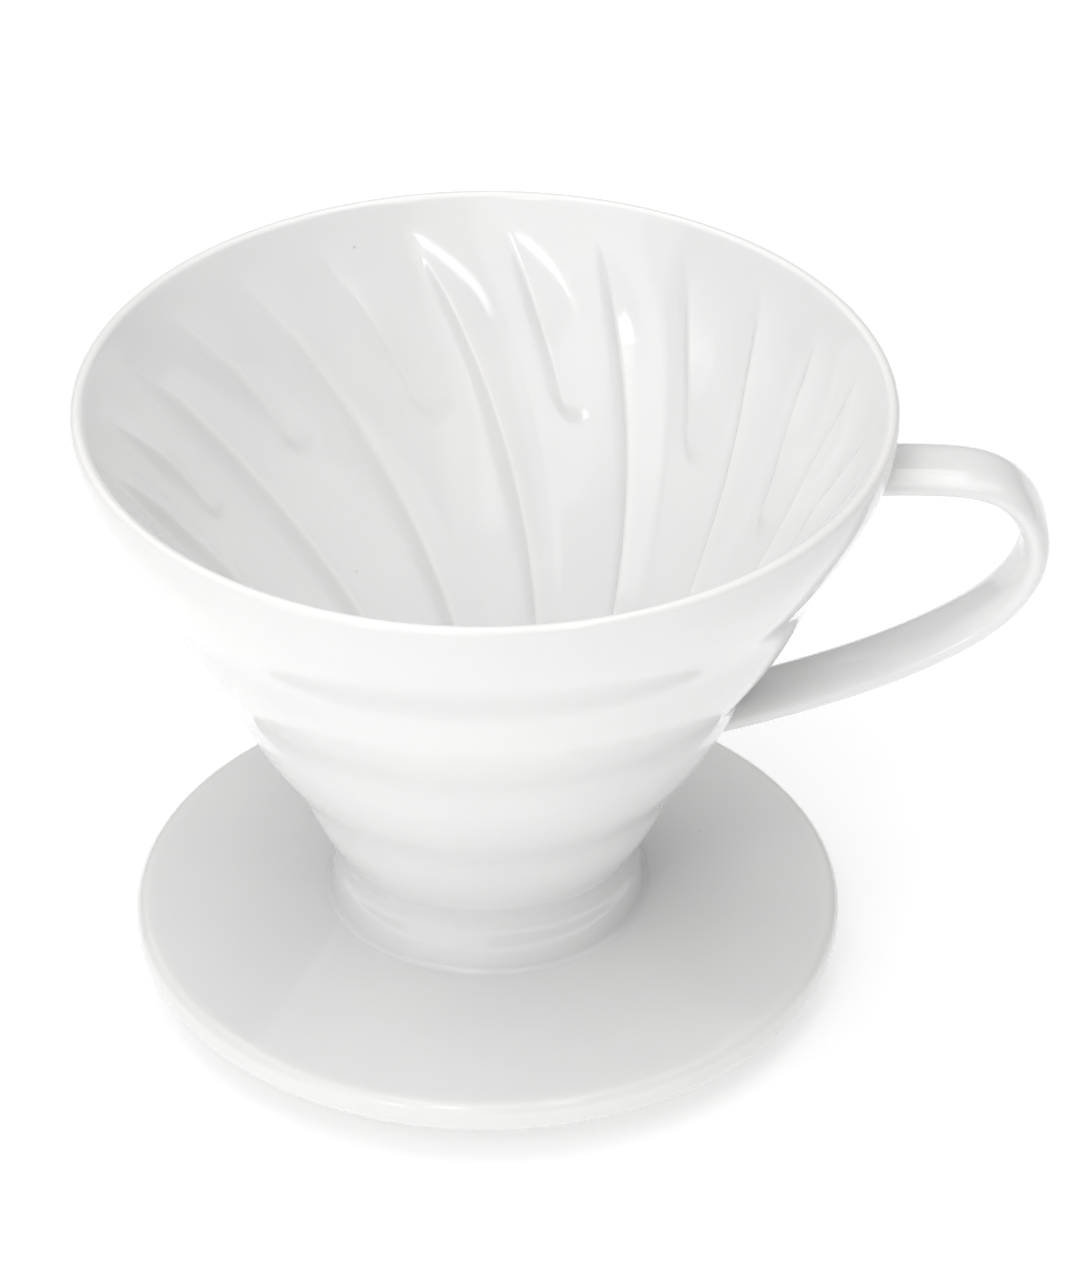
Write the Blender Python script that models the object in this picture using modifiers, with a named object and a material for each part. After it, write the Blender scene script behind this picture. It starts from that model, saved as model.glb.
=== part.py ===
"""A porcelain pour over dripper.

The filter cup, its plate, the collar under the plate and the strap handle are separate clay parts.
A fillet of slip closes each place where two of them were stuck together before firing.
Lengths are in metres. The dripper stands on its collar at Z = 0 with its handle along +X, and the
origin is under the middle of its bounding box, so the cone's axis lies to the -X side of it.
Heights in the constants are measured from the plate's underside, radii from the cone's axis.
"""

import math

import bmesh
import bpy

# Whole object
RIM_RADIUS = 0.0600
HANDLE_OVERHANG = 0.0227
AXIS_X = -HANDLE_OVERHANG / 2
COLLAR_DEPTH = 0.0067
PLATE_THICKNESS = 0.0050
RIM_HEIGHT = 0.0933
GAP = 0.0003
TURN_STEPS = 48

# Cone, outside: a slightly bowed flare with shallow ripples, over a waisted neck on a low foot
LIP_RADIUS = 0.0011
FLARE_TOP = 0.0865
FLARE_BOTTOM = 0.0190
FLARE_MIDDLE = 0.0500
FLARE_MIDDLE_RADIUS = 0.0404
FLARE_SLOPE = 0.5204
FLARE_BOW = 0.4
RIPPLE_SIZE = 0.00045
RIPPLE_PITCH = 0.0206
TOP_RIPPLE = 0.0822
POINTS_PER_RIPPLE = 6
NECK_OUTLINE = (
    (0.0232, 0.0174),
    (0.02245, 0.0159),
    (0.02215, 0.0145),
    (0.02225, 0.0133),
    (0.0226, 0.0122),
    (0.02295, 0.0115),
)
FOOT_HEIGHT = 0.0106
FOOT_TOP_RADIUS = 0.0232
FOOT_RADIUS = 0.0240

# Cone, inside: a cup for 60 degree papers that ends in a short straight drain
CUP_HALF_ANGLE = math.radians(30.0)
DRAIN_RADIUS = 0.0095
SPIGOT_RADIUS = 0.0130
SPIGOT_DROP = 0.0020

# Spiral ribs inside the cup, long and short in turn
RIB_PAIRS = 12
RIB_TOP = 0.0905
LONG_RIB_BOTTOM = 0.0115
SHORT_RIB_BOTTOM = 0.0635
RIB_TWIST = math.radians(580.0)
FIRST_RIB = math.radians(13.3)
RIB_ROUND = 0.0019
RIB_SINK = 0.0008
RIB_STEP = 0.0080
RIB_END_SIZE = 0.55
RIB_FOOT_SIZE = 0.75

# Plate, its fillet to the neck, and the collar under it
PLATE_RADIUS = 0.0536
PLATE_EDGE_ROUND = 0.0018
PLATE_CROWN = 0.0070
REST_INNER_RADIUS = 0.0350
REST_STEP = 0.0003
NECK_JOINT_HEIGHT = 0.0086
NECK_JOINT_RADIUS = 0.0256
JOINT_EDGE = 0.0004
COLLAR_OUTER_RADIUS = 0.0330
COLLAR_INNER_RADIUS = 0.0290
COLLAR_ROUND = 0.0008
VENT_COUNT = 3
VENT_WIDTH = 0.0090
VENT_HEIGHT = 0.0035
VENT_CUTTER_LENGTH = 0.0120

# Strap handle: a flat bar with round edges, along the middle line of its side view. It starts and
# ends inside the cone's wall, where it is cut to fit.
STRAP_WIDTH = 0.0120
STRAP_THICKNESS = 0.0042
STRAP_PATH = (
    (0.0520, 0.0807),
    (0.0663, 0.0808),
    (0.0759, 0.0783),
    (0.0806, 0.0690),
    (0.0760, 0.0586),
    (0.0675, 0.0520),
    (0.0534, 0.0451),
    (0.0330, 0.0383),
)
JOINT_THICKNESS = 0.0056
JOINT_FLARE = 1.25
UPPER_JOINT_PATH = ((0.0520, 0.0807), (0.0600, 0.0807))
LOWER_JOINT_PATH = ((0.0330, 0.0384), (0.0410, 0.0410))

GLAZE_COLOUR = (0.93, 0.93, 0.92)
BARE_COLOUR = (0.86, 0.84, 0.80)


def new_collection(name):
    collection = bpy.data.collections.new(name)
    bpy.context.scene.collection.children.link(collection)
    return collection


def new_material(name, colour, roughness):
    material = bpy.data.materials.new(name)
    material.use_nodes = True
    shader = material.node_tree.nodes["Principled BSDF"]
    shader.inputs["Base Color"].default_value = (*colour, 1.0)
    shader.inputs["Roughness"].default_value = roughness
    shader.inputs["Metallic"].default_value = 0.0
    return material


def make_cutter(thing):
    thing.hide_render = True
    thing.display_type = "WIRE"
    return thing


def arc(centre, radius, start, end, count):
    """Points along an arc between two angles, both ends included."""
    angles = [start + (end - start) * i / count for i in range(count + 1)]
    return [(centre[0] + radius * math.cos(a), centre[1] + radius * math.sin(a)) for a in angles]


def bend(start, corner, end, count):
    """Points along a smooth bend inside a corner, both ends left out."""
    points = []
    for i in range(1, count):
        t = i / count
        weights = ((1 - t) ** 2, 2 * t * (1 - t), t**2)
        points.append(tuple(sum(w * p[k] for w, p in zip(weights, (start, corner, end))) for k in (0, 1)))
    return points


class Dripper:
    """Builds the sub-parts, each placed by an empty on the cone's axis at the plate's underside."""

    def __init__(self):
        self.parts = new_collection("pour_over_dripper")
        self.cutters = new_collection("cutters")
        self.ribs = new_collection("ribs")
        self.glaze = new_material("glazed_porcelain", GLAZE_COLOUR, 0.12)
        self.bare = new_material("unglazed_porcelain", BARE_COLOUR, 0.75)
        self.axis = bpy.data.objects.new("cone_axis", None)
        self.parts.objects.link(self.axis)
        self.axis.location = (AXIS_X, 0.0, COLLAR_DEPTH)

    def add(self, name, data, collection, material=None):
        thing = bpy.data.objects.new(name, data)
        collection.objects.link(thing)
        thing.parent = self.axis
        if material:
            data.materials.append(material)
        return thing

    def turned(self, name, outline, collection, material=None, closed=True):
        """A turned shape from (radius, height) points that run down its outer side."""
        mesh = bpy.data.meshes.new(name)
        count = len(outline)
        edges = [(i, i + 1) for i in range(count - 1)]
        if closed:
            edges.append((count - 1, 0))
        mesh.from_pydata([(r, 0.0, z) for r, z in outline], edges, [])
        thing = self.add(name, mesh, collection, material)
        screw = thing.modifiers.new("Turn", "SCREW")
        screw.steps = TURN_STEPS
        screw.render_steps = TURN_STEPS
        screw.use_merge_vertices = True
        screw.merge_threshold = 0.00001
        screw.use_smooth_shade = True
        return thing

    def solid_from_curve(self, name, curve, collection, material=None):
        """A closed mesh object with the shape of a curve that is bevelled and capped."""
        guide = bpy.data.objects.new(name, curve)
        self.cutters.objects.link(guide)
        depsgraph = bpy.context.evaluated_depsgraph_get()
        mesh = bpy.data.meshes.new_from_object(guide.evaluated_get(depsgraph))
        welded = bmesh.new()
        welded.from_mesh(mesh)
        bmesh.ops.remove_doubles(welded, verts=welded.verts, dist=0.000001)
        welded.to_mesh(mesh)
        welded.free()
        bpy.data.objects.remove(guide)
        mesh.materials.clear()
        return self.add(name, mesh, collection, material)

    def rib(self, name, start_angle, bottom):
        """A round bar down the cup's wall, mostly sunk in it, turning as it goes."""
        curve = bpy.data.curves.new(name, "CURVE")
        curve.dimensions = "3D"
        curve.bevel_depth = RIB_ROUND
        curve.bevel_resolution = 1
        curve.use_fill_caps = True
        count = round((RIB_TOP - bottom) / RIB_STEP)
        spline = curve.splines.new("POLY")
        spline.points.add(count)
        for i, point in enumerate(spline.points):
            height = RIB_TOP + (bottom - RIB_TOP) * i / count
            angle = start_angle - RIB_TWIST * (RIB_TOP - height)
            radius = cup_radius(height) + RIB_SINK / math.cos(CUP_HALF_ANGLE)
            point.co = (radius * math.cos(angle), radius * math.sin(angle), height, 1.0)
            down = (RIB_TOP - height) / (RIB_TOP - LONG_RIB_BOTTOM)
            point.radius = 1.0 + (RIB_FOOT_SIZE - 1.0) * down
            if i in (0, count):
                point.radius *= RIB_END_SIZE
        return make_cutter(self.solid_from_curve(name, curve, self.ribs))

    def bar(self, name, path, width, thickness, flare, collection, material=None):
        """A flat bar with round edges in the handle's plane, flared at its first point."""
        curve = bpy.data.curves.new(name, "CURVE")
        curve.dimensions = "2D"
        curve.fill_mode = "NONE"
        curve.bevel_depth = thickness / 2
        curve.extrude = (width - thickness) / 2
        curve.bevel_resolution = 2
        curve.resolution_u = 5
        curve.use_fill_caps = True
        spline = curve.splines.new("BEZIER")
        spline.bezier_points.add(len(path) - 1)
        for point, (radius, height) in zip(spline.bezier_points, path):
            point.co = (radius, height, 0.0)
            point.handle_left_type = "AUTO"
            point.handle_right_type = "AUTO"
        spline.bezier_points[0].radius = flare
        bar = self.solid_from_curve(name, curve, collection, material)
        bar.rotation_euler.x = math.radians(90.0)
        return bar


def boolean(thing, operation, other):
    modifier = thing.modifiers.new(operation.title(), "BOOLEAN")
    modifier.operation = operation
    modifier.solver = "EXACT"
    if isinstance(other, bpy.types.Collection):
        modifier.operand_type = "COLLECTION"
        modifier.collection = other
    else:
        modifier.object = other


def cup_radius(height):
    """Radius of the cup's plain wall, which runs smoothly into the round lip."""
    edge_radius = RIM_RADIUS - LIP_RADIUS - LIP_RADIUS * math.cos(CUP_HALF_ANGLE)
    edge_height = RIM_HEIGHT - LIP_RADIUS + LIP_RADIUS * math.sin(CUP_HALF_ANGLE)
    return edge_radius - (edge_height - height) * math.tan(CUP_HALF_ANGLE)


def flare_radius(height):
    """Radius of the rippled outer wall."""
    up = height - FLARE_MIDDLE
    ripple = math.cos(2 * math.pi * (height - TOP_RIPPLE) / RIPPLE_PITCH)
    return FLARE_MIDDLE_RADIUS + FLARE_SLOPE * up - FLARE_BOW * up**2 + RIPPLE_SIZE * ripple


def foot_radius(height):
    """Radius of the foot's nearly upright side, between its top and the plate."""
    down = (FOOT_HEIGHT - height) / (FOOT_HEIGHT - PLATE_CROWN)
    return FOOT_TOP_RADIUS + (FOOT_RADIUS - FOOT_TOP_RADIUS) * down


def plate_top(radius):
    """Height of the plate's top, which falls gently from the foot to the edge."""
    share = (radius - FOOT_RADIUS) / (PLATE_RADIUS - PLATE_EDGE_ROUND - FOOT_RADIUS)
    return PLATE_CROWN + (PLATE_THICKNESS - PLATE_CROWN) * share


def outer_outline(growth=0.0):
    """The cone's outer wall, from the widest point of the lip down to the plate."""
    count = round((FLARE_TOP - FLARE_BOTTOM) / RIPPLE_PITCH * POINTS_PER_RIPPLE)
    heights = [FLARE_TOP + (FLARE_BOTTOM - FLARE_TOP) * i / count for i in range(count + 1)]
    flare = [(flare_radius(height) + growth, height) for height in heights]
    lip = (RIM_RADIUS + growth, RIM_HEIGHT - LIP_RADIUS)
    corner = (lip[0], (lip[1] + FLARE_TOP) / 2)
    neck = [(radius + growth, height) for radius, height in NECK_OUTLINE]
    foot = [(foot_radius(height) + growth, height) for height in (FOOT_HEIGHT, PLATE_CROWN + GAP)]
    return [lip, *bend(lip, corner, flare[0], 3), *flare, *neck, *foot]


def make_cone_body(dripper):
    lip_centre = (RIM_RADIUS - LIP_RADIUS, RIM_HEIGHT - LIP_RADIUS)
    lip = arc(lip_centre, LIP_RADIUS, math.pi - CUP_HALF_ANGLE, 0.0, 5)[:-1]
    drain_top = (cup_radius(0.0) - DRAIN_RADIUS) / -math.tan(CUP_HALF_ANGLE)
    spigot = [
        (SPIGOT_RADIUS, PLATE_CROWN + GAP),
        (SPIGOT_RADIUS, -SPIGOT_DROP),
        (DRAIN_RADIUS, -SPIGOT_DROP),
        (DRAIN_RADIUS, drain_top),
    ]
    outline = lip + outer_outline() + spigot
    cone = dripper.turned("cone_body", outline, dripper.parts, dripper.glaze)
    spacing = 2 * math.pi / RIB_PAIRS
    for pair in range(RIB_PAIRS):
        angle = FIRST_RIB + pair * spacing
        dripper.rib(f"long_rib_{pair:02d}", angle, LONG_RIB_BOTTOM)
        dripper.rib(f"short_rib_{pair:02d}", angle + spacing / 2, SHORT_RIB_BOTTOM)
    boolean(cone, "UNION", dripper.ribs)


def make_base_plate(dripper):
    """The plate. Its underside stands down a little outside the collar, where it rests on the server."""
    outer = PLATE_RADIUS - PLATE_EDGE_ROUND
    hole = SPIGOT_RADIUS + GAP
    upper = arc((outer, PLATE_THICKNESS - PLATE_EDGE_ROUND), PLATE_EDGE_ROUND, math.pi / 2, 0.0, 3)
    lower = arc((outer, PLATE_EDGE_ROUND), PLATE_EDGE_ROUND, 0.0, -math.pi / 2, 3)
    rest = [(REST_INNER_RADIUS, 0.0), (REST_INNER_RADIUS - REST_STEP, REST_STEP)]
    crown = [(hole, PLATE_CROWN), (FOOT_RADIUS, PLATE_CROWN)]
    outline = [*crown, *upper, *lower, *rest, (hole, REST_STEP)]
    dripper.turned("base_plate", outline, dripper.parts, dripper.glaze)


def make_neck_slip_joint(dripper):
    """A ring with a hollow outer face, clear of the foot inside it and the plate under it."""
    heights = (NECK_JOINT_HEIGHT, PLATE_CROWN + GAP)
    inner = [(foot_radius(height) + GAP, height) for height in heights]
    top = (inner[0][0] + JOINT_EDGE, NECK_JOINT_HEIGHT)
    foot = (NECK_JOINT_RADIUS, plate_top(NECK_JOINT_RADIUS) + GAP)
    toe = (foot[0], foot[1] + JOINT_EDGE)
    outline = [top, *bend(top, (top[0], toe[1]), toe, 4), toe, foot, *inner[::-1]]
    dripper.turned("neck_slip_joint", outline, dripper.parts, dripper.glaze)


def make_locating_collar(dripper):
    """The ring under the plate, with vents cut up into the face that it stands on."""
    floor = -COLLAR_DEPTH
    outer = COLLAR_OUTER_RADIUS - COLLAR_ROUND
    inner = COLLAR_INNER_RADIUS + COLLAR_ROUND
    top = REST_STEP - GAP
    outline = [
        (COLLAR_INNER_RADIUS, top),
        (COLLAR_OUTER_RADIUS, top),
        *arc((outer, floor + COLLAR_ROUND), COLLAR_ROUND, 0.0, -math.pi / 2, 3),
        *arc((inner, floor + COLLAR_ROUND), COLLAR_ROUND, -math.pi / 2, -math.pi, 3),
    ]
    collar = dripper.turned("locating_collar", outline, dripper.parts, dripper.bare)
    middle = (COLLAR_OUTER_RADIUS + COLLAR_INNER_RADIUS) / 2
    for i in range(VENT_COUNT):
        mesh = bpy.data.meshes.new(f"vent_{i}")
        cube = bmesh.new()
        bmesh.ops.create_cube(cube, size=1.0)
        bmesh.ops.scale(cube, verts=cube.verts, vec=(VENT_CUTTER_LENGTH, VENT_WIDTH, 2 * VENT_HEIGHT))
        cube.to_mesh(mesh)
        cube.free()
        vent = make_cutter(dripper.add(f"vent_{i}", mesh, dripper.cutters))
        angle = 2 * math.pi * i / VENT_COUNT + math.pi / VENT_COUNT
        vent.location = (middle * math.cos(angle), middle * math.sin(angle), floor)
        vent.rotation_euler.z = angle
        boolean(collar, "DIFFERENCE", vent)


def make_handle(dripper):
    """The strap and the flared fillet at each of its roots, all cut to fit the cone's wall."""
    wall_outline = outer_outline(GAP)
    wall_outline = [(0.0, wall_outline[0][1]), *wall_outline, (0.0, wall_outline[-1][1])]
    wall = make_cutter(dripper.turned("wall", wall_outline, dripper.cutters, closed=False))
    strap = dripper.bar(
        "strap_handle", STRAP_PATH, STRAP_WIDTH, STRAP_THICKNESS, 1.0, dripper.parts, dripper.glaze
    )
    boolean(strap, "DIFFERENCE", wall)
    slot = dripper.bar(
        "strap_slot", STRAP_PATH, STRAP_WIDTH + 2 * GAP, STRAP_THICKNESS + 2 * GAP, 1.0, dripper.cutters
    )
    make_cutter(slot)
    joint_width = STRAP_WIDTH + JOINT_THICKNESS - STRAP_THICKNESS
    for name, path in (("upper", UPPER_JOINT_PATH), ("lower", LOWER_JOINT_PATH)):
        joint = dripper.bar(
            f"{name}_handle_slip_joint", path, joint_width, JOINT_THICKNESS, JOINT_FLARE,
            dripper.parts, dripper.glaze,
        )
        boolean(joint, "DIFFERENCE", slot)
        boolean(joint, "DIFFERENCE", wall)


def main():
    for thing in list(bpy.data.objects):
        bpy.data.objects.remove(thing)
    dripper = Dripper()
    make_cone_body(dripper)
    make_base_plate(dripper)
    make_neck_slip_joint(dripper)
    make_locating_collar(dripper)
    make_handle(dripper)


main()
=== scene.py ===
"""The looks of a porcelain pour over dripper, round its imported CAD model.

Each visible piece is a fine closed mesh that stands for one CAD node. The pieces sink slightly into
each other, so that the fired porcelain reads as one continuous body.
Lengths are in metres. As in the CAD source, heights are measured from the plate's underside and
radii from the cone's axis; both are found from the boxes of the CAD nodes.
"""

import math

import bmesh
import bpy
import numpy as np
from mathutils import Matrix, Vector


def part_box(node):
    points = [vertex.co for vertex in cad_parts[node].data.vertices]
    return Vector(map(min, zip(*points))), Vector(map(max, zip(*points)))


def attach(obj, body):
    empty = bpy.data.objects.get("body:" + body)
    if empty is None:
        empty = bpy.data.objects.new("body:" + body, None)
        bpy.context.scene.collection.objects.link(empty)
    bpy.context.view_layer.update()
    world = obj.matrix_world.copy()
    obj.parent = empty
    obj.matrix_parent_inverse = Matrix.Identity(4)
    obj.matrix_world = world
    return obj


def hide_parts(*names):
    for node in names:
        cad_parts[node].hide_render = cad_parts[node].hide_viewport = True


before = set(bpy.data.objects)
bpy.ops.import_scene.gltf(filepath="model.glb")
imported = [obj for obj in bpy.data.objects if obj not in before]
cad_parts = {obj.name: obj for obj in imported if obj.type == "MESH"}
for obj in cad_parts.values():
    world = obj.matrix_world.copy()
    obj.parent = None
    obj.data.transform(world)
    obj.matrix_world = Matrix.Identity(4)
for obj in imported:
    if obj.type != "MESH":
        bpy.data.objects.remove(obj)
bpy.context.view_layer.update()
cone_low, cone_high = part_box("cone_body")
AXIS_X = (cone_low.x + cone_high.x) / 2
PLATE_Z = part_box("base_plate")[0].z
MM = 0.001

# Cone, outside. WAIST is the neck's outline above its foot, as (radius, height).
RIM_RADIUS = (cone_high.x - cone_low.x) / 2
RIM_HEIGHT = cone_high.z - PLATE_Z
LIP_RADIUS = 1.1 * MM
FLARE_TOP = 86.5 * MM
FLARE_BOTTOM = 19.0 * MM
FLARE_MIDDLE = 50.0 * MM
FLARE_MIDDLE_RADIUS = 40.4 * MM
FLARE_SLOPE = 0.5204
FLARE_BOW = 0.4
RIPPLE_SIZE = 0.45 * MM
RIPPLE_PITCH = 20.6 * MM
TOP_RIPPLE = 82.2 * MM
RIPPLE_VALLEY = 0.12
WAIST = MM * np.array(
    [(23.2, 17.4), (22.45, 15.9), (22.15, 14.5), (22.25, 13.3), (22.6, 12.2), (23.0, 11.4)]
)
FOOT_TOP_RADIUS = 23.3 * MM
FOOT_HEIGHT = 10.7 * MM
FOOT_RADIUS = 24.0 * MM
FOOT_EDGE_ROUND = 1.0 * MM
FLARE_ROWS = 90
WAIST_ROWS = 32
WAIST_LEAD = 6  # rows at the flare's foot that the waist's curve also runs through

# The slow wander of the cast walls. Each wave is its size, how many fit round the cone, how far it
# turns per metre of height, and where it starts. The inner wall has less of it, turned a little.
UNEVENNESS = 0.08 * MM
UNEVEN_FADE = 12.0 * MM
UNEVEN_WAVES = ((1.0, 2, 40, 0.6), (0.7, 3, -75, 2.1), (0.5, 5, 110, 4.0))
INNER_UNEVEN_SHARE = 0.5
INNER_UNEVEN_TURN = 1.0

# Cone, inside
CUP_HALF_ANGLE = math.radians(30.0)
DRAIN_RADIUS = 9.5 * MM
DRAIN_ROUND = 2.5 * MM
SPIGOT_RADIUS = 13.0 * MM
SPIGOT_DROP = 2.0 * MM
SPIGOT_ROUND = 0.8 * MM
WALL_ROWS = 150

# Ribs. Their steep width, gentle end and columns are angles in degrees, measured from the crest
# towards the steep side. The twist is the turn per metre of depth.
RIB_COUNT = 24
RIB_TOP = 90.5 * MM
RIB_FULL = 76.0 * MM
RIB_WIDE = 58.0 * MM
RIB_START_WIDTH = 0.25
LONG_RIB_BOTTOM = 11.5 * MM
LONG_RIB_FADE = 6.0 * MM
SHORT_RIB_BOTTOM = 63.5 * MM
RIB_TWIST = math.radians(580.0)
FIRST_RIB = math.radians(13.3)
RIB_RISE = 1.75 * MM
RIB_FULL_RADIUS = 30.0 * MM
RIB_LEAST_SHARE = 0.4
STEEP_WIDTH = 4.4
STEEP_HOLLOW = 1.6
GENTLE_END = -9.0
GENTLE_HOLLOW = 1.25
CREST_SOFTNESS = 0.2
NOSE_WIDTH = 2.0 * MM
NOSE_LENGTH = 2.2 * MM
NOSE_FAR_WIDTH = 6.5 * MM
NOSE_FAR_LENGTH = 7.0 * MM
NOSE_EDGE = 3.6 * MM
NOSE_HEIGHT = 0.35
NOSE_RUN = 20.0 * MM
CREST_HIGHLIGHT_START = 0.6  # share of a rib's rise above which its crest gets a painted highlight, a lighter and rougher glaze
SECTOR_COLUMNS = (
    -10.0, -8.8, -7.6, -6.4, -5.2, -4.0, -3.0, -2.0, -1.2, -0.6, -0.1, 0.4, 1.0, 1.8, 2.8, 3.9,
)

# Plate, collar and the fillet between neck and plate
PLATE_RADIUS = 53.6 * MM
PLATE_THICKNESS = 5.0 * MM
PLATE_EDGE_ROUND = 1.8 * MM
PLATE_RISE = 2.0 * MM
PLATE_SLOPE = PLATE_RISE / (PLATE_RADIUS - PLATE_EDGE_ROUND - FOOT_RADIUS)
PLATE_HOLE = 12.8 * MM
PLATE_ROWS = 24
EDGE_HIGHLIGHT = 0.6  # how strongly the plate's round edge gets a painted highlight, a lighter and rougher glaze
REST_INNER_RADIUS = 35.0 * MM
REST_STEP = 0.3 * MM
NECK_JOINT_HEIGHT = 8.0 * MM
NECK_JOINT_RADIUS = 25.0 * MM
COLLAR_OUTER_RADIUS = 33.0 * MM
COLLAR_INNER_RADIUS = 29.0 * MM
COLLAR_ROUND = 0.9 * MM
COLLAR_FILLET = 1.2 * MM
VENT_COUNT = 3
VENT_WIDTH = 9.0 * MM
VENT_HEIGHT = 3.5 * MM
VENT_SOFTNESS = 1.0 * MM

# Handle: its middle line in side view, as (radius, height)
STRAP_WIDTH = 12.0 * MM
STRAP_THICKNESS = 4.2 * MM
STRAP_CROWN = 0.10
STRAP_EDGE_POWER = 0.35
STRAP_PATH = MM * np.array(
    [
        (53.6, 80.7), (66.3, 80.8), (75.9, 78.3), (80.6, 69.0),
        (76.0, 58.6), (67.5, 52.0), (53.4, 45.1), (30.5, 37.6),
    ]
)
STRAP_ROWS, STRAP_COLUMNS = 120, 48
ROOT_FILLET = 1.7 * MM
ROOT_ROWS, ROOT_COLUMNS = 900, 96
ROOT_FACE_ROWS = 11

# How deep pieces sink into each other, and how far a fillet reaches into the solid behind it
SINK = 0.03 * MM
CORE = 0.8 * MM
TURNED_COLUMNS = 256
SHARP_ANGLE = math.radians(75.0)


def smooth(low, high, value):
    """0 at low and 1 at high, with a smooth run between them."""
    t = np.clip((value - low) / (high - low), 0.0, 1.0)
    return t * t * (3.0 - 2.0 * t)


def arc(centre, radius, start, end, count):
    """Points along an arc between two angles, in count steps, both ends included."""
    angles = np.linspace(start, end, count + 1)
    return np.stack([centre[0] + radius * np.cos(angles), centre[1] + radius * np.sin(angles)], 1)


def bend(start, corner, end, count):
    """Points of a smooth bend inside a corner, in count steps, both ends included."""
    t = np.linspace(0.0, 1.0, count + 1)[:, None]
    start, corner, end = (np.array(p) for p in (start, corner, end))
    return (1 - t) ** 2 * start + 2 * t * (1 - t) * corner + t**2 * end


def line(start, end, count):
    """Points of a straight run, in count steps, without the end itself."""
    t = np.arange(count)[:, None] / count
    return np.array(start) * (1 - t) + np.array(end) * t


def grid_piece(name, node, points, material, crests=None, open_ends=False):
    """A closed mesh through points[row, column], which rides on the model in place of a CAD node.

    The columns wrap round. The rows do too, unless open_ends is true: then each end is filled.
    crests is how strongly each point gets a painted highlight, a lighter and rougher glaze, on rib
    crests, the lip and the plate's edge.
    """
    rows, columns = points.shape[:2]
    index = np.arange(rows * columns).reshape(rows, columns)
    beside = np.roll(index, -1, axis=1)
    faces = np.stack([index, beside, np.roll(beside, -1, axis=0), np.roll(index, -1, axis=0)], -1)
    if open_ends:
        faces = faces[:-1]
    faces = faces.reshape(-1, 4).tolist()
    if open_ends:
        faces += [index[0].tolist(), index[-1].tolist()]
    mesh = bpy.data.meshes.new(name)
    placed = points + np.array([AXIS_X, 0.0, PLATE_Z])
    mesh.from_pydata(placed.reshape(-1, 3).tolist(), [], faces)
    # The crest attribute carries the painted highlight mask.
    highlight_mask = np.zeros((rows, columns)) if crests is None else crests
    mesh.attributes.new("crest", "FLOAT", "POINT").data.foreach_set("value", highlight_mask.ravel())
    work = bmesh.new()
    work.from_mesh(mesh)
    bmesh.ops.recalc_face_normals(work, faces=work.faces)
    work.to_mesh(mesh)
    work.free()
    mesh.shade_smooth()
    mesh.set_sharp_from_angle(angle=SHARP_ANGLE)
    mesh.materials.append(material)
    piece = bpy.data.objects.new(name, mesh)
    bpy.context.scene.collection.objects.link(piece)
    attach(piece, "root")
    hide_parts(node)
    return piece


def turned(outline, angles):
    """Points[row, column] of a turned shape, from its (radius, height) outline."""
    across, along = outline[:, 0, None] * np.cos(angles), outline[:, 0, None] * np.sin(angles)
    return np.stack([across, along, np.broadcast_to(outline[:, 1, None], across.shape)], -1)


def full_turn(columns):
    """Evenly spaced angles all the way round, as one row."""
    return np.linspace(0, 2 * math.pi, columns, endpoint=False)[None, :]


def cup_radius(height):
    """Radius of the cup's plain wall, which runs smoothly into the round lip."""
    edge_radius = RIM_RADIUS - LIP_RADIUS - LIP_RADIUS * math.cos(CUP_HALF_ANGLE)
    return edge_radius - (cup_edge_height() - height) * math.tan(CUP_HALF_ANGLE)


def cup_edge_height():
    """Height at which the cup's plain wall meets the round lip."""
    return RIM_HEIGHT - LIP_RADIUS + LIP_RADIUS * math.sin(CUP_HALF_ANGLE)


def flare_radius(height):
    """Radius of the rippled outer wall."""
    up = height - FLARE_MIDDLE
    phase = 2 * math.pi * (height - TOP_RIPPLE) / RIPPLE_PITCH
    ripple = np.cos(phase) - RIPPLE_VALLEY * np.cos(2 * phase)
    return FLARE_MIDDLE_RADIUS + FLARE_SLOPE * up - FLARE_BOW * up**2 + RIPPLE_SIZE * ripple


def unevenness(angle, height):
    """The slow wander of a cast wall, as a change of radius."""
    waves = sum(
        size * np.sin(count * angle + climb * height + start)
        for size, count, climb, start in UNEVEN_WAVES
    )
    bottom = smooth(FLARE_BOTTOM, FLARE_BOTTOM + UNEVEN_FADE, height)
    return UNEVENNESS * waves * bottom * smooth(FLARE_TOP, FLARE_TOP - UNEVEN_FADE, height)


def outer_radius(height, angle):
    """Radius of the outer wall with its unevenness."""
    return flare_radius(height) + unevenness(angle, height)


def foot_radius(height):
    """Radius of the foot's nearly upright side, between its top and the plate."""
    down = (FOOT_HEIGHT - height) / (FOOT_HEIGHT - PLATE_THICKNESS - PLATE_RISE)
    return FOOT_TOP_RADIUS + (FOOT_RADIUS - FOOT_TOP_RADIUS) * down


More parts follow.
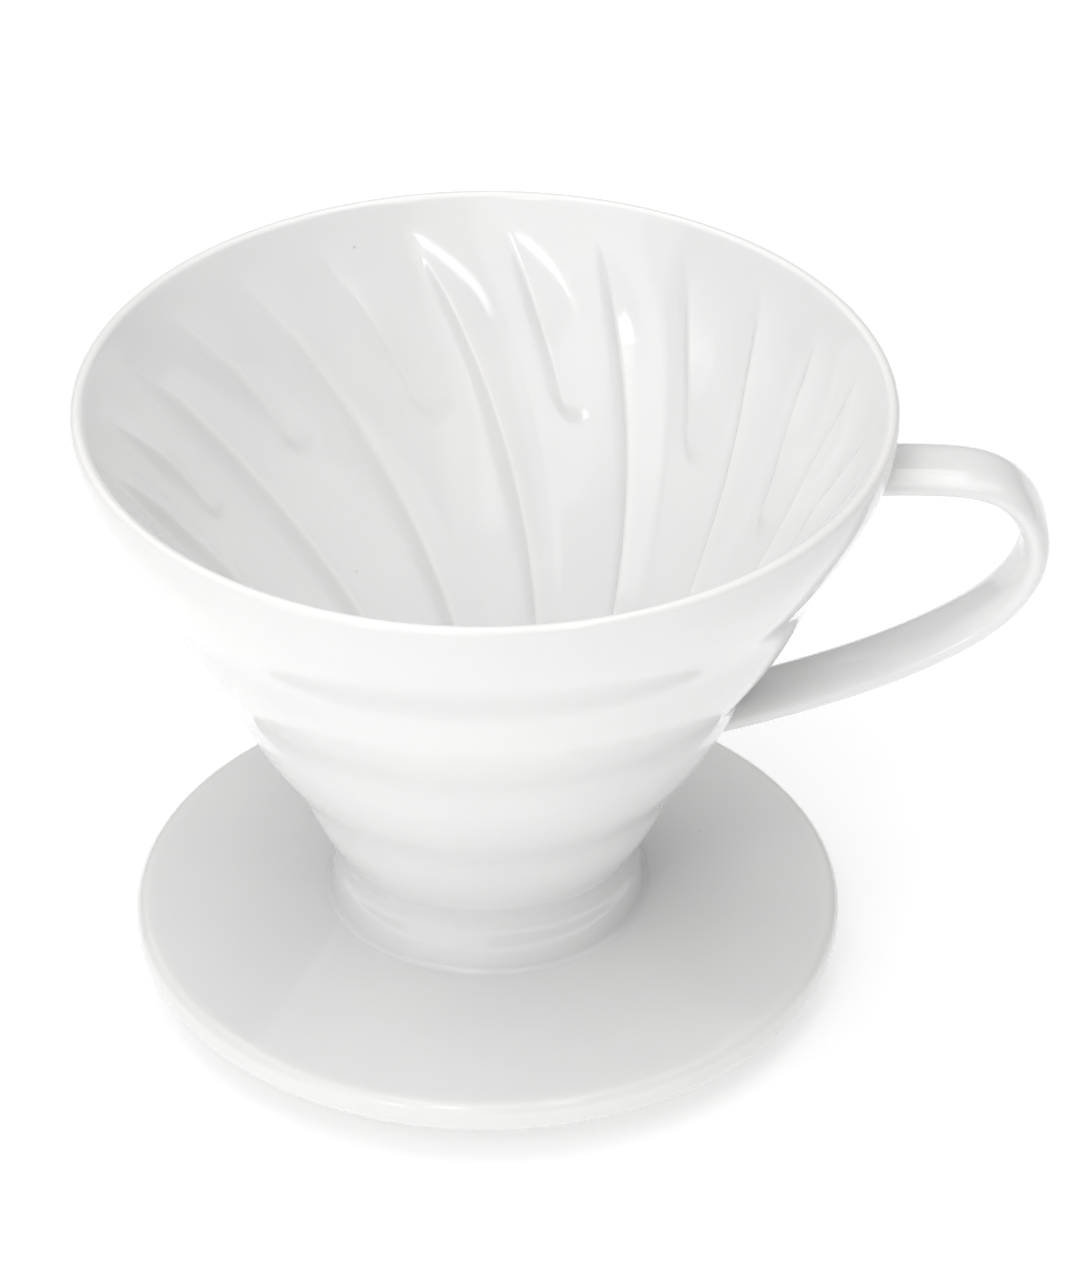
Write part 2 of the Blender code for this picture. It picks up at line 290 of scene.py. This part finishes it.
def rib_rise(across, height, radius, long):
    """How far a rib stands out of the cup's wall.

    across is the angle from its crest in degrees, positive on the steep side. A long rib runs
    down to the drain, and a short one ends in a rounded nose.
    """
    grown = smooth(RIB_TOP, RIB_FULL, height)
    widened = np.clip((RIB_TOP - height) / (RIB_TOP - RIB_WIDE), 0.0, 1.0)
    steep_width = STEEP_WIDTH * (RIB_START_WIDTH + (1.0 - RIB_START_WIDTH) * widened)
    steep = np.clip((steep_width - across) / steep_width, 0.0, None) ** STEEP_HOLLOW
    gentle = np.clip((across - GENTLE_END) / -GENTLE_END, 0.0, None) ** GENTLE_HOLLOW
    gap = np.clip(CREST_SOFTNESS - np.abs(steep - gentle), 0.0, None) / CREST_SOFTNESS
    section = np.minimum(steep, gentle) - gap**2 * CREST_SOFTNESS / 4
    section = np.clip(section, 0.0, None)
    shrunk = np.clip(radius / RIB_FULL_RADIUS, RIB_LEAST_SHARE, 1.0)
    rise = RIB_RISE * section * grown * shrunk
    if long:
        return rise * smooth(LONG_RIB_BOTTOM, LONG_RIB_BOTTOM + LONG_RIB_FADE, height)
    sideways = -np.radians(across) * radius
    near = sideways < NOSE_WIDTH / 2
    off = sideways - NOSE_WIDTH / 2
    width = np.where(near, NOSE_WIDTH, NOSE_FAR_WIDTH)
    length = np.where(near, NOSE_LENGTH, NOSE_FAR_LENGTH)
    tip = length * (1.0 - np.sqrt(np.clip(1.0 - (off / width) ** 2, 0.0, 1.0)))
    along = (height - SHORT_RIB_BOTTOM) / math.cos(CUP_HALF_ANGLE)
    low = NOSE_HEIGHT + (1.0 - NOSE_HEIGHT) * smooth(0.0, NOSE_RUN, along)
    return rise * low * smooth(0.0, NOSE_EDGE, along - tip)


def make_cup(material):
    """The cone in one closed grid, whose columns follow the ribs down the inside."""
    bottom = (cup_radius(0.0) - DRAIN_RADIUS) / -math.tan(CUP_HALF_ANGLE)
    wall_heights = np.linspace(bottom + DRAIN_ROUND, cup_edge_height(), WALL_ROWS)
    wall = np.stack([cup_radius(wall_heights), wall_heights], 1)
    lip_centre = (RIM_RADIUS - LIP_RADIUS, RIM_HEIGHT - LIP_RADIUS)
    lip = arc(lip_centre, LIP_RADIUS, math.pi - CUP_HALF_ANGLE, 0.0, 12)[1:]
    flare_heights = np.linspace(FLARE_TOP, FLARE_BOTTOM, FLARE_ROWS)
    flare = np.stack([flare_radius(flare_heights), flare_heights], 1)
    shoulder = bend(lip[-1], (RIM_RADIUS, (lip[-1][1] + FLARE_TOP) / 2), flare[0], 8)[1:-1]
    waist, _ = spline(np.vstack([flare[-WAIST_LEAD:], WAIST]), WAIST_ROWS)
    flare = flare[: 1 - WAIST_LEAD]
    edge = (FOOT_TOP_RADIUS, FOOT_HEIGHT)
    below = FOOT_HEIGHT - FOOT_EDGE_ROUND
    sunk = PLATE_THICKNESS + PLATE_RISE - 4 * SINK
    neck = np.vstack(
        [
            waist[1:-1],
            bend(waist[-1], edge, (foot_radius(below), below), 6),
            line((foot_radius(below), below), (foot_radius(sunk), sunk), 8)[1:],
            line((foot_radius(sunk), sunk), (SPIGOT_RADIUS, sunk), 3),
        ]
    )
    low = SPIGOT_ROUND - SPIGOT_DROP
    outer_round = (SPIGOT_RADIUS - SPIGOT_ROUND, low)
    inner_round = (DRAIN_RADIUS + SPIGOT_ROUND, low)
    spigot = np.vstack(
        [
            line((SPIGOT_RADIUS, sunk), (SPIGOT_RADIUS, low), 4),
            arc(outer_round, SPIGOT_ROUND, 0.0, -math.pi / 2, 4),
            arc(inner_round, SPIGOT_ROUND, -math.pi / 2, -math.pi, 4),
            line((DRAIN_RADIUS, 0.0), (DRAIN_RADIUS, bottom - DRAIN_ROUND), 6),
        ]
    )
    throat = bend((DRAIN_RADIUS, bottom - DRAIN_ROUND), (DRAIN_RADIUS, bottom), wall[0], 6)[:-1]
    outline = np.vstack([wall, lip, shoulder, flare, neck, spigot, throat])

    sector = 2 * math.pi / RIB_COUNT
    across = np.tile(SECTOR_COLUMNS, RIB_COUNT)
    number = np.repeat(np.arange(RIB_COUNT), len(SECTOR_COLUMNS))
    start = FIRST_RIB + number * sector + np.radians(across)
    inside = len(wall)
    turn = np.zeros(len(outline))
    turn[:inside] = -RIB_TWIST * np.clip(RIB_TOP - wall_heights, 0.0, None)
    outer = np.arange(len(outline) - inside)
    turn[inside:] = turn[0] * smooth(0, len(outer) - len(throat) - len(spigot), outer)
    angles = start[None, :] + turn[:, None]
    points = turned(outline, angles)

    height, radius = wall[:, 1, None], wall[:, 0, None]
    rises = [rib_rise(across[None, :], height, radius, long) for long in (True, False)]
    rise = np.where(number % 2 == 0, *rises)
    uneven = INNER_UNEVEN_SHARE * unevenness(angles[:inside] + INNER_UNEVEN_TURN, height)
    inward = radius + uneven - rise * math.cos(CUP_HALF_ANGLE)
    points[:inside, :, 0] = inward * np.cos(angles[:inside])
    points[:inside, :, 1] = inward * np.sin(angles[:inside])
    points[:inside, :, 2] += rise * math.sin(CUP_HALF_ANGLE)
    first = inside + len(lip) + len(shoulder)
    rows = slice(first, first + len(flare))
    walls = outer_radius(flare[:, 1, None], angles[rows])
    points[rows, :, 0] = walls * np.cos(angles[rows])
    points[rows, :, 1] = walls * np.sin(angles[rows])

    # Painted highlight: rib crests and the lip are marked for a lighter, rougher glaze.
    crests = np.zeros(points.shape[:2])
    above = np.clip(rise / RIB_RISE - CREST_HIGHLIGHT_START, 0.0, None)
    crests[:inside] = above / (1.0 - CREST_HIGHLIGHT_START)
    crests[inside : inside + len(lip)] = np.sin(np.linspace(0, math.pi, len(lip)))[:, None]
    return grid_piece("cup", "cone_body", points, material, crests)


def make_plate(material):
    """The drip plate: its top falls from the foot to a round edge, and it is cut back below."""
    edge = (PLATE_RADIUS - PLATE_EDGE_ROUND, PLATE_THICKNESS - PLATE_EDGE_ROUND)
    low_edge = (edge[0], PLATE_EDGE_ROUND)
    step = REST_INNER_RADIUS - REST_STEP
    crown = PLATE_THICKNESS + PLATE_RISE
    top = np.vstack(
        [
            line((PLATE_HOLE, REST_STEP), (PLATE_HOLE, crown), 3),
            line((PLATE_HOLE, crown), (FOOT_RADIUS, crown), 4),
            line((FOOT_RADIUS, crown), (edge[0], PLATE_THICKNESS), PLATE_ROWS),
        ]
    )
    round_edge = np.vstack(
        [
            arc(edge, PLATE_EDGE_ROUND, math.pi / 2, 0.0, 8),
            arc(low_edge, PLATE_EDGE_ROUND, 0.0, -math.pi / 2, 8),
        ]
    )
    under = np.vstack(
        [
            line((edge[0], 0.0), (REST_INNER_RADIUS, 0.0), 8)[1:],
            bend((REST_INNER_RADIUS, 0.0), (step, 0.0), (step, REST_STEP), 4),
            line((step, REST_STEP), (PLATE_HOLE, REST_STEP), 12)[1:],
        ]
    )
    points = turned(np.vstack([top, round_edge, under]), full_turn(TURNED_COLUMNS))
    # Painted highlight: the round edge is marked for a lighter, rougher glaze.
    crests = np.zeros(points.shape[:2])
    crests[len(top) : len(top) + len(round_edge)] = EDGE_HIGHLIGHT
    return grid_piece("plate", "base_plate", points, material, crests)


def make_neck_fillet(material):
    """A ring with a hollow face, tangent to the foot inside it and the plate under it."""
    crown = PLATE_THICKNESS + PLATE_RISE
    top, low = foot_radius(NECK_JOINT_HEIGHT), crown - 2 * CORE
    toe = (NECK_JOINT_RADIUS, crown - PLATE_SLOPE * (NECK_JOINT_RADIUS - FOOT_RADIUS) - SINK)
    face = bend((top - SINK, NECK_JOINT_HEIGHT), (FOOT_RADIUS, crown), toe, 10)
    core = [(NECK_JOINT_RADIUS, low), (top - CORE, low), (top - CORE, NECK_JOINT_HEIGHT)]
    points = turned(np.vstack([face, core]), full_turn(TURNED_COLUMNS))
    return grid_piece("neck_fillet", "neck_slip_joint", points, material)


def make_collar(material):
    """The ring under the plate, with soft vents cut up into the face that it stands on."""
    floor = -PLATE_Z
    top = REST_STEP + SINK
    outer, inner = COLLAR_OUTER_RADIUS, COLLAR_INNER_RADIUS
    low = floor + COLLAR_ROUND
    outline = np.vstack(
        [
            bend((outer + COLLAR_FILLET, top), (outer, top), (outer, -COLLAR_FILLET), 5),
            line((outer, -COLLAR_FILLET), (outer, low), 4)[1:],
            arc((outer - COLLAR_ROUND, low), COLLAR_ROUND, 0.0, -math.pi / 2, 5),
            arc((inner + COLLAR_ROUND, low), COLLAR_ROUND, -math.pi / 2, -math.pi, 5),
            line((inner, low), (inner, -COLLAR_FILLET), 4)[1:],
            bend((inner, -COLLAR_FILLET), (inner, top), (inner - COLLAR_FILLET, top), 5),
            [(inner, CORE), (outer, CORE)],
        ]
    )
    angles = full_turn(2 * TURNED_COLUMNS)
    points = turned(outline, angles)
    spacing = 2 * math.pi / VENT_COUNT
    off = angles % spacing - spacing / 2
    sideways = np.abs(off) * (outer + inner) / 2
    cut = 1.0 - smooth(VENT_WIDTH / 2 - VENT_SOFTNESS, VENT_WIDTH / 2 + VENT_SOFTNESS, sideways)
    share = 1.0 - cut * VENT_HEIGHT / (-floor - COLLAR_FILLET)
    below = points[:, :, 2] < -COLLAR_FILLET
    squeezed = -COLLAR_FILLET + (points[:, :, 2] + COLLAR_FILLET) * share
    points[:, :, 2] = np.where(below, squeezed, points[:, :, 2])
    return grid_piece("collar", "locating_collar", points, material)


def spline(knots, count):
    """Evenly spaced points on a smooth curve through the knots, with unit tangents."""
    gaps = np.linalg.norm(np.diff(knots, axis=0), axis=1)
    at = np.concatenate([[0.0], np.cumsum(gaps)])
    size = len(knots)
    matrix, known = np.eye(size), np.zeros_like(knots)
    for i in range(1, size - 1):
        matrix[i, i - 1 : i + 2] = gaps[i - 1], 2 * (gaps[i - 1] + gaps[i]), gaps[i]
        slopes = (knots[i + 1] - knots[i]) / gaps[i] - (knots[i] - knots[i - 1]) / gaps[i - 1]
        known[i] = 6 * slopes
    curvature = np.linalg.solve(matrix, known)
    where = np.linspace(0.0, at[-1], count)
    span = np.clip(np.searchsorted(at, where, side="right") - 1, 0, size - 2)
    gap = gaps[span][:, None]
    b = (where - at[span])[:, None] / gap
    a = 1.0 - b
    bow = (a**3 - a) * curvature[span] + (b**3 - b) * curvature[span + 1]
    points = a * knots[span] + b * knots[span + 1] + bow * gap**2 / 6
    tangents = np.gradient(points, axis=0)
    return points, tangents / np.linalg.norm(tangents, axis=1)[:, None]


def strap_section(count):
    """Points round the strap's section and their outward normals, as (sideways, outward)."""
    round_end = STRAP_THICKNESS / 2
    flat = STRAP_WIDTH / 2 - round_end
    angles = np.linspace(0, 2 * math.pi, count, endpoint=False) + math.pi / count
    normals = np.stack([np.cos(angles), np.sin(angles)], 1)
    bow = np.abs(normals[:, 0]) ** STRAP_EDGE_POWER * np.sign(normals[:, 0])
    points = np.stack([flat * bow + round_end * normals[:, 0], round_end * normals[:, 1]], 1)
    crown = 1.0 - STRAP_CROWN * (points[:, 0] / (STRAP_WIDTH / 2)) ** 2
    points[:, 1] *= crown
    return points, normals


def strap_surface(rows, columns):
    """Points[row, column] and normals of the strap, from its upper root to its lower one."""
    middle, along = spline(STRAP_PATH, rows)
    section, section_normals = strap_section(columns)
    outward = np.stack([-along[:, 1], along[:, 0]], 1)

    def place(offsets, centre):
        radial = centre[:, 0, None] + outward[:, 0, None] * offsets[None, :, 1]
        upward = centre[:, 1, None] + outward[:, 1, None] * offsets[None, :, 1]
        sideways = np.broadcast_to(offsets[None, :, 0], radial.shape)
        return np.stack([radial, sideways, upward], -1)

    return place(section, middle), place(section_normals, np.zeros_like(middle))


def make_handle(material):
    """The strap, closed at both ends inside the cone's wall."""
    points, _ = strap_surface(STRAP_ROWS, STRAP_COLUMNS)
    return grid_piece("handle", "strap_handle", points, material, open_ends=True)


def make_root_fillet(name, node, material, lower):
    """The slip round a root of the strap, hollow between the strap and the cone's wall."""
    points, normals = strap_surface(ROOT_ROWS, ROOT_COLUMNS)
    if lower:
        points, normals = points[::-1], normals[::-1]
    radius = np.hypot(points[..., 0], points[..., 1])
    angle = np.arctan2(points[..., 1], points[..., 0])
    outside = radius > outer_radius(points[..., 2], angle)
    row, column = np.argmax(outside, axis=0), np.arange(ROOT_COLUMNS)
    meet, normal = points[row, column], normals[row, column]
    step = np.linalg.norm(np.diff(points[:, 0], axis=0), axis=1).mean()
    on_strap = points[row + round(ROOT_FILLET / step), column]
    away = np.stack([np.cos(angle[row, column]), np.sin(angle[row, column])], 1)
    slope = math.tan(CUP_HALF_ANGLE)
    wall = np.concatenate([away, np.full((ROOT_COLUMNS, 1), -slope)], 1)
    wall /= np.linalg.norm(wall, axis=1)[:, None]
    beside = normal - wall * np.sum(normal * wall, axis=1)[:, None]
    beside /= np.linalg.norm(beside, axis=1)[:, None]
    on_wall = meet + ROOT_FILLET * beside
    wall_angle = np.arctan2(on_wall[:, 1], on_wall[:, 0])
    reach = outer_radius(on_wall[:, 2], wall_angle) - SINK
    on_wall[:, 0], on_wall[:, 1] = reach * np.cos(wall_angle), reach * np.sin(wall_angle)
    on_strap = on_strap - SINK * normal
    face = [
        (1 - t) ** 2 * on_strap + 2 * t * (1 - t) * meet + t**2 * on_wall
        for t in np.linspace(0, 1, ROOT_FACE_ROWS)
    ]
    core = [on_wall - CORE * wall, meet - CORE * (wall + normal), on_strap - CORE * normal]
    return grid_piece(name, node, np.array(face + core), material)


# Materials. Colours are linear; roughness runs from the smoothest to the roughest patch.

GLAZE_COLOURS = (0.815, 0.818, 0.815), (0.845, 0.845, 0.838)
# A painted highlight: a lighter colour mixed in on rib crests, the lip and the plate's edge, where
# the glaze is also made rougher.
CREST_HIGHLIGHT_COLOUR = (0.875, 0.868, 0.850)
CREST_HIGHLIGHT_SHARE = 0.7
CREST_ROUGHNESS = 0.03
SPECK_COLOUR = (0.35, 0.31, 0.27)
SPECK_SHARE = 0.35
GLAZE_ROUGHNESS = 0.07, 0.12
BARE_COLOURS = (0.70, 0.675, 0.63), (0.78, 0.76, 0.72)
BARE_ROUGHNESS = 0.66, 0.82
WORN_COLOUR = (0.50, 0.48, 0.45)
WORN_SHARE = 0.5
WORN_HEIGHT = 1.2 * MM


class Nodes:
    """Short calls for building a material's node tree."""

    def __init__(self, name):
        self.material = bpy.data.materials.new(name)
        self.material.use_nodes = True
        self.tree = self.material.node_tree
        self.shader = self.tree.nodes["Principled BSDF"]
        self.place = self.add("ShaderNodeTexCoord").outputs["Object"]

    def add(self, kind, **settings):
        node = self.tree.nodes.new(kind)
        for key, value in settings.items():
            setattr(node, key, value)
        return node

    def link(self, output, socket):
        self.tree.links.new(output, socket)

    def noise(self, scale, detail=2.0, roughness=0.5):
        node = self.add("ShaderNodeTexNoise")
        node.inputs["Scale"].default_value = scale
        node.inputs["Detail"].default_value = detail
        node.inputs["Roughness"].default_value = roughness
        self.link(self.place, node.inputs["Vector"])
        return node.outputs["Fac"]

    def spread(self, value, low, high, to_low=0.0, to_high=1.0):
        """The value stretched so that low to high becomes to_low to to_high."""
        node = self.add("ShaderNodeMapRange", clamp=True)
        for socket, number in zip(node.inputs[1:5], (low, high, to_low, to_high)):
            socket.default_value = number
        self.link(value, node.inputs["Value"])
        return node.outputs["Result"]

    def mix(self, share, first, second):
        """A blend of two colours, each a tuple or another node's output."""
        node = self.add("ShaderNodeMix", data_type="RGBA")
        sockets = [s for s in node.inputs if s.type == "RGBA"]
        self.link(share, node.inputs["Factor"])
        for socket, value in zip(sockets, (first, second)):
            if isinstance(value, tuple):
                socket.default_value = (*value, 1.0)
            else:
                self.link(value, socket)
        return next(s for s in node.outputs if s.type == "RGBA")

    def math(self, operation, first, second):
        node = self.add("ShaderNodeMath", operation=operation)
        for socket, value in zip(node.inputs, (first, second)):
            if isinstance(value, (int, float)):
                socket.default_value = value
            else:
                self.link(value, socket)
        return node.outputs["Value"]

    def bump(self, height, strength, distance, normal=None):
        node = self.add("ShaderNodeBump")
        node.inputs["Strength"].default_value = strength
        node.inputs["Distance"].default_value = distance
        self.link(height, node.inputs["Height"])
        if normal is not None:
            self.link(normal, node.inputs["Normal"])
        return node.outputs["Normal"]


def glazed_porcelain():
    """White porcelain under a clear glaze: faint clouds, a few iron specks, a soft orange peel, and
    a painted highlight on crests and edges.
    """
    nodes = Nodes("glazed_porcelain")
    cloud = nodes.spread(nodes.noise(28.0, 3.0), 0.35, 0.65)
    colour = nodes.mix(cloud, *GLAZE_COLOURS)
    # Painted highlight: the crest attribute lightens the colour and roughens the glaze on rib
    # crests, the lip and the plate's edge.
    crest = nodes.add("ShaderNodeAttribute", attribute_name="crest").outputs["Fac"]
    highlight_mask = nodes.math("MULTIPLY", crest, CREST_HIGHLIGHT_SHARE)
    colour = nodes.mix(highlight_mask, colour, CREST_HIGHLIGHT_COLOUR)
    # Specks sit at the middle of the few cells whose own random shade falls in a narrow band.
    cells = nodes.add("ShaderNodeTexVoronoi")
    cells.inputs["Scale"].default_value = 75.0
    nodes.link(nodes.place, cells.inputs["Vector"])
    dot = nodes.spread(cells.outputs["Distance"], 0.014, 0.024, 1.0, 0.0)
    rare = nodes.spread(cells.outputs["Color"], 0.71, 0.73)
    speck = nodes.math("MULTIPLY", nodes.math("MULTIPLY", dot, rare), SPECK_SHARE)
    colour = nodes.mix(speck, colour, SPECK_COLOUR)
    nodes.link(colour, nodes.shader.inputs["Base Color"])
    rough = nodes.spread(nodes.noise(140.0, 3.0), 0.3, 0.7, *GLAZE_ROUGHNESS)
    rough = nodes.math("ADD", rough, nodes.math("MULTIPLY", crest, CREST_ROUGHNESS))
    nodes.link(rough, nodes.shader.inputs["Roughness"])
    peel = nodes.bump(nodes.noise(210.0, 2.0), 0.05, 0.4 * MM)
    normal = nodes.bump(nodes.noise(45.0, 1.0), 0.10, 0.6 * MM, peel)
    nodes.link(normal, nodes.shader.inputs["Normal"])
    nodes.shader.inputs["IOR"].default_value = 1.5
    nodes.shader.inputs["Coat Weight"].default_value = 0.25
    nodes.shader.inputs["Coat Roughness"].default_value = 0.04
    nodes.shader.inputs["Subsurface Weight"].default_value = 0.08
    nodes.shader.inputs["Subsurface Scale"].default_value = 1.5 * MM
    nodes.shader.inputs["Subsurface Radius"].default_value = (1.0, 0.9, 0.8)
    return nodes.material


def bare_porcelain():
    """The unglazed foot: a matt fine-grained body, a little worn and grey where it stands."""
    nodes = Nodes("unglazed_porcelain")
    grain = nodes.noise(1600.0, 3.0, 0.6)
    colour = nodes.mix(nodes.spread(grain, 0.3, 0.7), *BARE_COLOURS)
    low = nodes.add("ShaderNodeSeparateXYZ")
    nodes.link(nodes.place, low.inputs["Vector"])
    worn = nodes.spread(low.outputs["Z"], 0.0, WORN_HEIGHT, 1.0, 0.0)
    rub = nodes.spread(nodes.noise(260.0, 4.0), 0.45, 0.65)
    share = nodes.math("MULTIPLY", nodes.math("MULTIPLY", worn, rub), WORN_SHARE)
    colour = nodes.mix(share, colour, WORN_COLOUR)
    nodes.link(colour, nodes.shader.inputs["Base Color"])
    nodes.link(nodes.spread(grain, 0.3, 0.7, *BARE_ROUGHNESS), nodes.shader.inputs["Roughness"])
    nodes.link(nodes.bump(grain, 0.35, 0.15 * MM), nodes.shader.inputs["Normal"])
    return nodes.material


# Set: floor, light and camera. The camera's place is measured from the cone's axis and from the
# plate's underside. A softbox is its name, azimuth and elevation in degrees, size in metres and
# power in watts.

FLOOR_SIZE = 6.0
FLOOR_SEGMENTS = 96
FLOOR_DROP = 0.1 * MM  # keeps the floor off the face that the collar stands on
FLOOR_COLOURS = (0.86, 0.86, 0.86), (0.88, 0.88, 0.88)
FLOOR_GLOW = 0.28
WORLD_LIGHT = 0.26
LIGHT_DISTANCE = 1.2
SOFTBOXES = (
    ("front_key", -13.0, 45.0, 0.18, 0.65),
    ("right_spark", 27.0, 43.0, 0.14, 0.25),
    ("left_spark", -28.0, 17.0, 0.16, 0.45),
    ("front_high", -14.0, 50.0, 1.4, 3.3),
    ("front_low", -28.0, 14.0, 1.3, 4.2),
    ("right_top", 90.0, 62.0, 0.8, 1.8),
    ("left_top", -90.0, 60.0, 0.8, 1.7),
    ("left_back", -140.0, 45.0, 0.8, 1.2),
    ("top", 0.0, 75.0, 0.8, 2.3),
    ("back_top", 180.0, 68.0, 0.8, 3.1),
)
CAMERA_LENS = 169.14
CAMERA_PLACE = (7.98 * MM, -736.1 * MM, 556.3 * MM)
CAMERA_TILT = math.radians(90.0 - 34.48)


def make_floor():
    """A pale matt floor that glows a little."""
    mesh = bpy.data.meshes.new("floor")
    work = bmesh.new()
    bmesh.ops.create_circle(work, cap_ends=True, segments=FLOOR_SEGMENTS, radius=FLOOR_SIZE / 2)
    work.to_mesh(mesh)
    work.free()
    floor = bpy.data.objects.new("floor", mesh)
    bpy.context.scene.collection.objects.link(floor)
    floor.location.z = -FLOOR_DROP
    nodes = Nodes("pale_floor")
    tone = nodes.spread(nodes.noise(3.0, 2.0), 0.3, 0.7)
    nodes.link(nodes.mix(tone, *FLOOR_COLOURS), nodes.shader.inputs["Base Color"])
    nodes.shader.inputs["Roughness"].default_value = 0.9
    nodes.shader.inputs["Specular IOR Level"].default_value = 0.1
    nodes.shader.inputs["Emission Color"].default_value = (1.0, 1.0, 1.0, 1.0)
    nodes.shader.inputs["Emission Strength"].default_value = FLOOR_GLOW
    mesh.materials.append(nodes.material)


def softbox(name, azimuth, elevation, size, power):
    """A square soft light aimed at the dripper, from an azimuth counted from the camera's side.

    The azimuth grows to the camera's right.
    """
    light = bpy.data.lights.new(name, "AREA")
    light.size = size
    light.energy = power
    lamp = bpy.data.objects.new(name, light)
    bpy.context.scene.collection.objects.link(lamp)
    target = Vector((AXIS_X, 0.0, PLATE_Z + RIM_HEIGHT / 2))
    side, up = math.radians(azimuth), math.radians(elevation)
    towards = (math.sin(side) * math.cos(up), -math.cos(side) * math.cos(up), math.sin(up))
    lamp.location = target + LIGHT_DISTANCE * Vector(towards)
    lamp.rotation_euler = (target - lamp.location).to_track_quat("-Z", "Y").to_euler()


def make_set():
    """The floor, the world's light, the softboxes and the camera."""
    make_floor()
    scene = bpy.context.scene
    world = bpy.data.worlds.new("studio")
    world.use_nodes = True
    world.node_tree.nodes["Background"].inputs["Color"].default_value = (1.0, 1.0, 1.0, 1.0)
    world.node_tree.nodes["Background"].inputs["Strength"].default_value = WORLD_LIGHT
    scene.world = world
    scene.view_settings.view_transform = "Standard"
    for light in SOFTBOXES:
        softbox(*light)

    camera = bpy.data.objects.new("camera", bpy.data.cameras.new("camera"))
    scene.collection.objects.link(camera)
    camera.data.lens = CAMERA_LENS
    camera.location = Vector(CAMERA_PLACE) + Vector((AXIS_X, 0.0, PLATE_Z))
    camera.rotation_euler = (CAMERA_TILT, 0.0, 0.0)
    scene.camera = camera


def main():
    glaze, bare = glazed_porcelain(), bare_porcelain()
    pieces = [
        make_cup(glaze),
        make_plate(glaze),
        make_neck_fillet(glaze),
        make_handle(glaze),
        make_root_fillet("upper_root_fillet", "upper_handle_slip_joint", glaze, lower=False),
        make_root_fillet("lower_root_fillet", "lower_handle_slip_joint", glaze, lower=True),
    ]
    make_collar(bare)
    make_set()


main()
